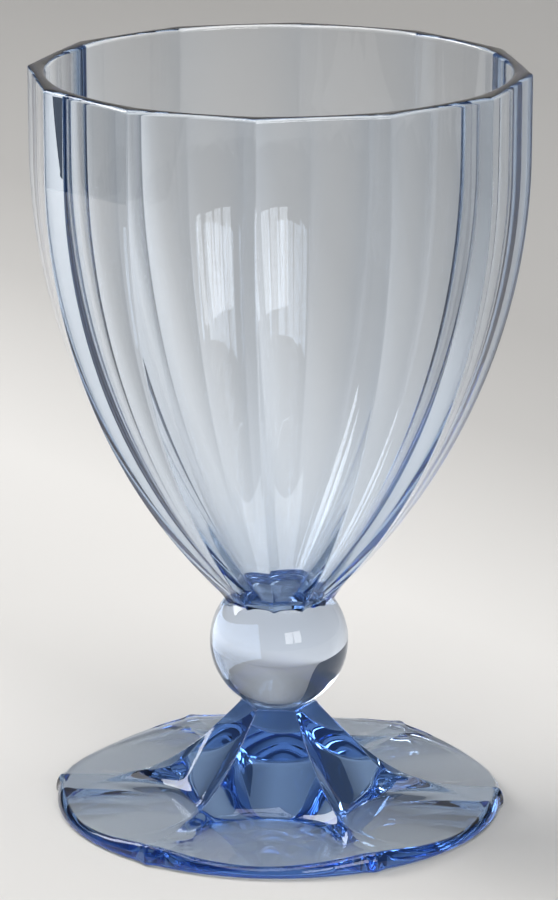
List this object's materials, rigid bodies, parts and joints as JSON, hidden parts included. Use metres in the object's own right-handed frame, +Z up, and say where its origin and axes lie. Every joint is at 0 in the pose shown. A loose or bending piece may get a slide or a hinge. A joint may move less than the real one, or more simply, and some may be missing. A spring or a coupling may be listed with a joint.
{
  "type": "water goblet",
  "caption": "Footed drinking glass with a tall panelled bowl of pale blue glass, a clear glass ball for a stem and a flared panelled foot",
  "frame": {"origin": "centre of the foot's underside, on the table", "axes": "+Z is up, along the goblet's axis; +X runs out under a ridge of the bowl and a ridge of the foot"},
  "size_m": [0.0954, 0.0954, 0.146],
  "materials": {
    "blue_bowl_glass": "fire-polished pressed glass, pale blue through its thickness",
    "clear_glass": "polished colourless glass",
    "blue_foot_glass": "fire-polished pressed glass, deeper blue where it is thick"
  },
  "bodies": {
    "root": {"bowl": "blue_bowl_glass", "ball_stem": "clear_glass", "foot": "blue_foot_glass"}
  },
  "joints": []
}
